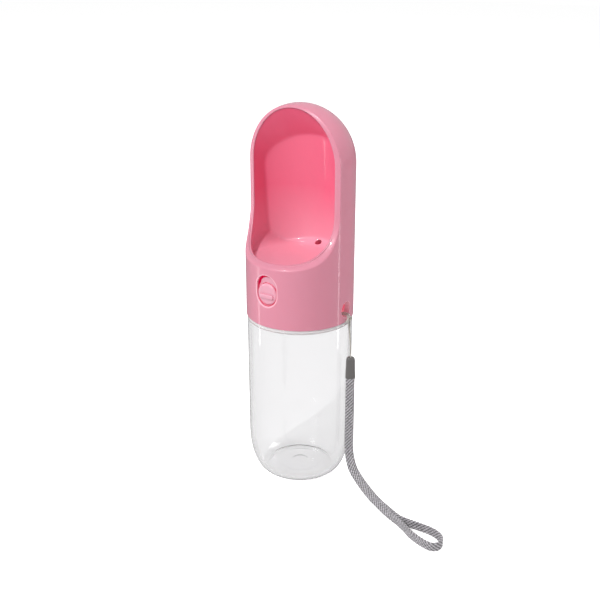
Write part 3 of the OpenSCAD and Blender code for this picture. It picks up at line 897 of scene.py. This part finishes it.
liner_points, liner_faces, liner_loops = trimmed_grid(
    pocket_place,
    ring_angles(POCKET_SIDES),
    np.linspace(POCKET_MOUTH, POCKET_TIP, POCKET_ROWS),
    lambda p: np.minimum(behind_cut(p) - LINER_SET_BACK, from_outlet(p)),
    tip=pocket_place(np.array([[0.0, 0.0]]))[0],
)
liner_normals = -slope(pocket, liner_points)
first = liner_faces[0][:3]
a, b, c = liner_points[first]
if np.cross(b - a, c - a) @ liner_normals[first[0]] < 0:
    liner_faces = [f[::-1] for f in liner_faces]
    liner_loops = [loop[::-1] for loop in liner_loops]
liner = skin_piece(
    "liner_look", liner_points, liner_normals, liner_faces, liner_loops, LINER_WALL, liner_edge,
)
dress(liner, "liner_plastic", "head")
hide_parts("trough_liner")

# ---------------------------------------------------------------- bottle, in mm

FOOT_R, BASE_H, BOTTLE_R, SHOULDER = 21.4, 27.5, 32.5, 106.7
BASE_INSET, BASE_STEPS, BASE_WALL = 0.2, 28, 2
NECK_R, NECK_BORE, NECK_TOP = 24, 22, 118.5
THREAD_LEAD, THREAD_TURNS, THREAD_Z, THREAD_H = 4, 1.25, 110, 1.5
THREAD_STEPS, THREAD_START, THREAD_FADE = 90, 0.15, 8
THREAD_SUNK, THREAD_FLANK = 0.2, 0.75
FOOT_HALF, FLANK_HALF, CREST_HALF = 0.85, 0.62, 0.3
BOTTLE_SIDES = 224


def base_curve(wall):
    """The base's quarter ellipse, set in by the wall, as corners for eased()."""
    w = BOTTLE_R - BASE_INSET - FOOT_R
    return [
        (FOOT_R + (w - wall) * math.sin(a), BASE_H - (BASE_H - wall) * math.cos(a), 0)
        for a in (math.pi / 2 * k / BASE_STEPS for k in range(BASE_STEPS + 1))
    ]


# Corners of radius, height and fillet radius: up the outside, then down the inside.
outer = [
    (0, 1.45, 0), (4.4, 1.45, 0.6), (5.8, 1.28, 0.6), (14, 1.2, 1.5), (18.5, 0.5, 1.5),
    (20.8, 0, 0.4), *base_curve(0), (BOTTLE_R, SHOULDER, 0.8), (NECK_R, SHOULDER, 0.3),
    (NECK_R, NECK_TOP, 0.4), (NECK_BORE, NECK_TOP, 0.4),
]
inner = [
    (21.8, 105.2, 0.6), (22.4, 104.4, 0.6), (30.5, 104.0, 1.6), *base_curve(BASE_WALL)[::-1],
    (18, 2.4, 1.5), (13, 3.1, 2), (0, 3.2, 0),
]


def thread():
    """A ridge that winds up the neck and fades out at both ends."""
    verts, faces = [], []
    steps = THREAD_STEPS
    for i in range(steps + 1):
        a = 2 * math.pi * THREAD_TURNS * i / steps
        h = THREAD_H * min(1, THREAD_START + THREAD_FADE * min(i, steps - i) / steps)
        z = THREAD_Z + THREAD_LEAD * a / (2 * math.pi)
        side = [
            (NECK_R - THREAD_SUNK, FOOT_HALF),
            (NECK_R + h * THREAD_FLANK, FLANK_HALF),
            (NECK_R + h, CREST_HALF),
        ]
        section = [(r, -half) for r, half in side] + side[::-1]
        verts += [(r * math.cos(a), r * math.sin(a), z + dz) for r, dz in section]
    n = len(section)
    for i in range(steps):
        for j in range(n):
            k = (j + 1) % n
            faces.append([i * n + j, (i + 1) * n + j, (i + 1) * n + k, i * n + k])
    faces.append(list(range(n)))
    faces.append([steps * n + k for k in range(n)][::-1])
    return verts, faces


bottle_verts, bottle_faces = merged(lathe(eased(outer + inner), BOTTLE_SIDES), thread())
bottle = add_mesh("bottle_look", [Vector(v) * MM for v in bottle_verts], bottle_faces)
dress(bottle, "clear_plastic", "bottle")
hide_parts("bottle")

# ---------------------------------------------------------------- button, in mm

BUTTON_Z, BUTTON_FRONT = 127.2, 31.9
BUTTON_SIDES, RIB_SIDES, RIB_STEPS = 72, 40, 4
disc = lathe(
    eased([
        (0, BUTTON_FRONT, 0), (5.6, BUTTON_FRONT, 1.2), (6.65, 31.3, 0.5), (6.65, 29.4, 0),
        (5, 29.4, 0), (5, 30.6, 0), (2, 30.6, 0), (2, 21.5, 0), (0, 21.5, 0),
    ]),
    BUTTON_SIDES, axis="-Y", centre=(SLOT_X, 0, BUTTON_Z),
)


def rib(half_w, half_h, z, y_back, y_front, ease):
    """A bar with round ends and an eased front."""
    verts = []
    levels = [(0, y_back), (0, y_front + ease)] + [
        (ease * (1 - math.cos(a)), y_front + ease * (1 - math.sin(a)))
        for a in (math.pi / 2 * k / RIB_STEPS for k in range(1, RIB_STEPS + 1))
    ]
    for inset, y in levels:
        r = half_h - inset
        for k in range(RIB_SIDES):
            a = 2 * math.pi * k / RIB_SIDES
            x = r * math.cos(a) + math.copysign(half_w - half_h, math.cos(a))
            verts.append((SLOT_X + x, y, z + r * math.sin(a)))
    return verts, tube_faces(len(levels), RIB_SIDES)


bar = rib(half_w=5.0, half_h=1.25, z=BUTTON_Z - 1.1, y_back=-30.9, y_front=-33.0, ease=0.35)
button_verts, button_faces = merged(disc, bar)
button = add_mesh("button_look", [Vector(v) * MM for v in button_verts], button_faces)
dress(button, "slide_plastic", "button")
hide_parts("button")

# ---------------------------------------------------------------- lanyard

STRING_D = 0.9 * MM
STRAP_W = 5.4 * MM
STRAP_T = 1.7 * MM
LAYER_GAP = 2.0 * MM
HANG_TURN = math.radians(35.3)
STRING_STEPS, STRAP_STEPS = 6, 8

STRING_ROUTE = [
    (36.9, 1.2, 81), (36.8, 1.3, 85), (35.9, 2.2, 92), (34.7, 2.5, 101), (33.9, 2.3, 107.2),
    (33.8, 2.2, 109.4), (33.2, 2.2, 110.6), (31, 2.2, 110.9), (28.5, 2.2, 110.6),
    (28.2, 2.1, 109.3), (28.4, 1.8, 107.8), (31, 1.4, 107.5), (34.6, 0, 107.6), (35.3, -0.9, 109),
    (35.5, 0.2, 110.6), (35.5, 2.2, 110.5), (35.4, 3.8, 109.4), (34.9, 3.7, 107.8),
    (32.4, 3.2, 107.5), (29.4, 3.3, 107.3), (28.2, 3.6, 108.2), (28.2, 3.6, 110.3),
    (29.4, 3.6, 111.3), (32.8, 3.6, 111.2), (34, 4, 109.7), (33.9, 4.3, 107.4), (34, 4, 101),
    (35.1, 3.5, 92), (36.1, 2.5, 85), (36.2, 2.4, 81),
]

HANG_W = Vector((math.cos(HANG_TURN), math.sin(HANG_TURN), 0))
UP = Vector((0, 0, 1))
TILT = Vector((0.4, 0.6, 0.69))
STRAP_ROUTE = [
    ((36.5, 1.8, 72.5), HANG_W), ((36.5, 1.8, 60), HANG_W), ((36.5, 1.8, 45), HANG_W),
    ((36.5, 1.7, 33), HANG_W), ((36.8, 1.4, 23), Vector((0.8, 0.58, 0.12))),
    ((38.2, 0.7, 15.4), Vector((0.73, 0.56, 0.38))),
    ((41.6, -0.8, 9.2), Vector((0.58, 0.56, 0.59))),
    ((47.2, -3.2, 5.4), Vector((0.48, 0.58, 0.66))), ((54.6, -7.6, 3.8), TILT),
    ((63, -13, 3.4), TILT), ((72, -18.1, 3.4), TILT),
    ((81, -22.4, 3.2), Vector((0.25, 0.38, 0.89))), ((88, -25, 2.9), UP),
]
LOOP_ROUTE = [
    (95, -29.6), (101.3, -33.5), (109.5, -36.6), (116.6, -37.6), (120.1, -34.5), (119.2, -29.1),
    (114.4, -25.4), (109.2, -24.2), (102.8, -24.1), (95.8, -24.4),
]


def round_cord(name, path, radius):
    """A curve object with a round section and closed ends."""
    data = bpy.data.curves.new(name, "CURVE")
    data.dimensions = "3D"
    data.bevel_depth = radius
    data.bevel_resolution = 3
    data.use_fill_caps = True
    spline = data.splines.new("POLY")
    spline.points.add(len(path) - 1)
    for point, place in zip(spline.points, path):
        point.co = (*place, 1)
    obj = bpy.data.objects.new(name, data)
    bpy.context.scene.collection.objects.link(obj)
    return obj


string_path = smooth_path([Vector(p) * MM for p in STRING_ROUTE], STRING_STEPS)
string = round_cord("string_look", string_path, STRING_D / 2)
dress(string, "string", "head")
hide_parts("lanyard_string")

mid = smooth_path([Vector(p) * MM for p, _ in STRAP_ROUTE], STRAP_STEPS)
wide = smooth_path([w.copy() for _, w in STRAP_ROUTE], STRAP_STEPS)
mid_t = tangents(mid)
wide = [(w - w.dot(t) * t).normalized() for w, t in zip(wide, mid_t)]
normals = [t.cross(w) for t, w in zip(mid_t, wide)]
down = [m + n * LAYER_GAP / 2 for m, n in zip(mid, normals)]
back = [m - n * LAYER_GAP / 2 for m, n in zip(mid, normals)]
loop_points = [Vector((x * MM, y * MM, mid[-1].z)) for x, y in LOOP_ROUTE]
before, after = down[-1 - STRAP_STEPS], back[-1 - STRAP_STEPS]
loop_points = [before, down[-1], *loop_points, back[-1], after]
around = smooth_path(loop_points, STRAP_STEPS)[STRAP_STEPS + 1 : -STRAP_STEPS - 1]
strap_path = down + around + back[::-1]
strap_wide = wide + [UP] * len(around) + wide[::-1]


STRAP_COLUMNS = 14
# Where the selvedge starts and how wide it is, in half widths; its roundness; the web's thickness.
SELVEDGE_FROM, SELVEDGE_WIDE, SELVEDGE_ROUND, WEB_THICK = 0.82, 0.18, 0.92, 0.93


def flat_strap(name, path, wide_dirs):
    """Woven tape with a thick selvedge at each edge; UVs run across and, in metres, along."""
    outline = []
    for side in (1, -1):
        for k in range(STRAP_COLUMNS + 1):
            u = side * (1 - 2 * k / STRAP_COLUMNS)
            edge = max(0.0, (abs(u) - SELVEDGE_FROM) / SELVEDGE_WIDE)
            thick = math.sqrt(max(0.0, 1 - edge * edge * SELVEDGE_ROUND))
            thick *= 1.0 if edge else WEB_THICK
            outline.append((u, side * thick))
    n = len(outline)
    ts = tangents(path)
    verts, uvs, run = [], [], 0.0
    for i, (c, t, w) in enumerate(zip(path, ts, wide_dirs)):
        a = (w - w.dot(t) * t).normalized()
        b = t.cross(a)
        if i:
            run += (c - path[i - 1]).length
        for u, v in outline:
            verts.append(c + a * (u * STRAP_W / 2) + b * (v * STRAP_T / 2))
            uvs.append(((u + 1) / 2, run))
    return add_mesh(name, verts, tube_faces(len(path), n), uvs)


strap = flat_strap("strap_look", strap_path, strap_wide)
dress(strap, "webbing", "head")
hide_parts("lanyard_strap")

# Height, half width and half thickness.
FERRULE_LEVELS = [
    (70.5, 2.75, 1.85), (70.5, 2.95, 2.05), (70.8, 3.08, 2.2), (72, 3.06, 2.2),
    (76, 2.9, 2.15), (80, 2.78, 2.1), (81.8, 2.75, 2.06), (82.9, 2.66, 1.96),
    (83.7, 2.42, 1.74), (84.3, 1.98, 1.36), (84.6, 1.4, 0.9), (84.7, 0.6, 0.4),
]
FERRULE_X, FERRULE_Y, FERRULE_SIDES, SQUARENESS = 36.5, 1.8, 48, 3.2


def squarish(w, t):
    """Outline of a rounded bar, half w wide and half t thick."""
    for k in range(FERRULE_SIDES):
        a = 2 * math.pi * k / FERRULE_SIDES
        c, q = math.cos(a), math.sin(a)
        yield (
            w * math.copysign(abs(c) ** (2 / SQUARENESS), c),
            t * math.copysign(abs(q) ** (2 / SQUARENESS), q),
        )


cos_hang, sin_hang = math.cos(HANG_TURN), math.sin(HANG_TURN)
ferrule_verts = [
    Vector((
        FERRULE_X + x * cos_hang - y * sin_hang,
        FERRULE_Y + x * sin_hang + y * cos_hang,
        z,
    )) * MM
    for z, w, t in FERRULE_LEVELS
    for x, y in squarish(w, t)
]
ferrule_faces = tube_faces(len(FERRULE_LEVELS), FERRULE_SIDES)
ferrule = add_mesh("ferrule_look", ferrule_verts, ferrule_faces)
dress(ferrule, "ferrule_plastic", "head")
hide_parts("lanyard_ferrule")
[tuple(p) for p in strap_path]

# ---------------------------------------------------------------- floor and light

FLOOR_IN_GLOSS = (0.32, 0.32, 0.32)
FLOOR_SEEN = 0.7
WORLD_LIGHT, WORLD_SEEN, WORLD_IN_GLOSS = 0.3, 1.0, 0.55


def pale_surface(name, colour):
    """A matt floor that reads as plain white where no shadow falls on it."""
    p = Paint(name)
    grain = p.noise(30.0, 2.0)
    rays = p.node("LightPath").outputs
    tone = p.node("MixRGB")
    tone.blend_type = "MULTIPLY"
    tone.inputs["Color2"].default_value = (*FLOOR_IN_GLOSS, 1)
    through = p.math("MAXIMUM", rays["Is Transmission Ray"], rays["Is Glossy Ray"])
    p.join(through, tone.inputs["Fac"])
    p.join(
        p.ramp(grain.outputs["Fac"], [(0.3, toned(colour, 0.995)), (0.7, colour)]),
        tone.inputs["Color1"],
    )
    p.join(tone.outputs["Color"], p.shader.inputs["Base Color"])
    p.set(Roughness=0.9, Specular_IOR_Level=0.1, Emission_Color=(1, 1, 1, 1))
    seen = p.math("MAXIMUM", rays["Is Camera Ray"], rays["Is Transmission Ray"])
    p.join(p.spread(seen, 0.0, FLOOR_SEEN), p.shader.inputs["Emission Strength"])
    return p.mat


FLOOR_HALF = 4.0
signs = ((-1, -1), (1, -1), (1, 1), (-1, 1))
corners = [(x * FLOOR_HALF, y * FLOOR_HALF, 0) for x, y in signs]
floor = add_mesh("floor", corners, [(0, 1, 2, 3)], smooth=False)
floor.data.materials.append(pale_surface("floor", (0.9, 0.9, 0.9)))

world = bpy.data.worlds.new("studio")
bpy.context.scene.world = world
world.use_nodes = True
sky = world.node_tree
background = sky.nodes["Background"]
background.inputs["Color"].default_value = (1, 1, 1, 1)
rays = sky.nodes.new("ShaderNodeLightPath").outputs
seen = math_node(sky, "MAXIMUM", rays["Is Camera Ray"], rays["Is Transmission Ray"])
level = sky.nodes.new("ShaderNodeMapRange")
level.inputs["To Min"].default_value = WORLD_LIGHT
level.inputs["To Max"].default_value = WORLD_SEEN
sky.links.new(seen, level.inputs["Value"])
in_gloss = math_node(sky, "MULTIPLY", rays["Is Glossy Ray"], WORLD_IN_GLOSS)
brightest = math_node(sky, "MAXIMUM", level.outputs["Result"], in_gloss)
sky.links.new(brightest, background.inputs["Strength"])


def lamp(name, place, target, size, power):
    """A rectangular light at a place, turned to a target."""
    data = bpy.data.lights.new(name, "AREA")
    data.shape = "RECTANGLE"
    data.size, data.size_y = size
    data.energy = power
    obj = bpy.data.objects.new(name, data)
    obj.location = place
    obj.rotation_euler = (Vector(target) - Vector(place)).to_track_quat("-Z", "Y").to_euler()
    bpy.context.scene.collection.objects.link(obj)
    return obj


def aimed(azimuth, rise, reach, target):
    """A place at an azimuth, from -Y towards +X, and a rise above level from the target."""
    a, e = math.radians(azimuth), math.radians(rise)
    return (
        target[0] + reach * math.cos(e) * math.sin(a),
        target[1] - reach * math.cos(e) * math.cos(a),
        target[2] + reach * math.sin(e),
    )


def card(name, azimuth, size, power):
    """A panel beside the bottle that shows only as a reflection in glossy plastic."""
    obj = lamp(name, aimed(azimuth, 0, CARD_REACH, BESIDE), BESIDE, size, power)
    obj.visible_camera = obj.visible_diffuse = obj.visible_transmission = False


TROUGH, BESIDE = (0, 0, 0.18), (0, 0, 0.11)
LAMP_REACH, CARD_REACH = 1.5, 0.27
lamp("key", aimed(-4, 38, LAMP_REACH, TROUGH), TROUGH, (0.06, 0.06), 14.5)
top = lamp("top", aimed(-30, 60, LAMP_REACH, TROUGH), TROUGH, (0.3, 0.3), 6.0)
top.visible_glossy = False
fill = lamp("fill", aimed(136, 35, LAMP_REACH, TROUGH), TROUGH, (0.8, 0.8), 12.0)
fill.visible_glossy = False
card("left_panel", -57, (0.02, 0.22), 0.06)
card("right_panel", 120, (0.016, 0.22), 0.05)
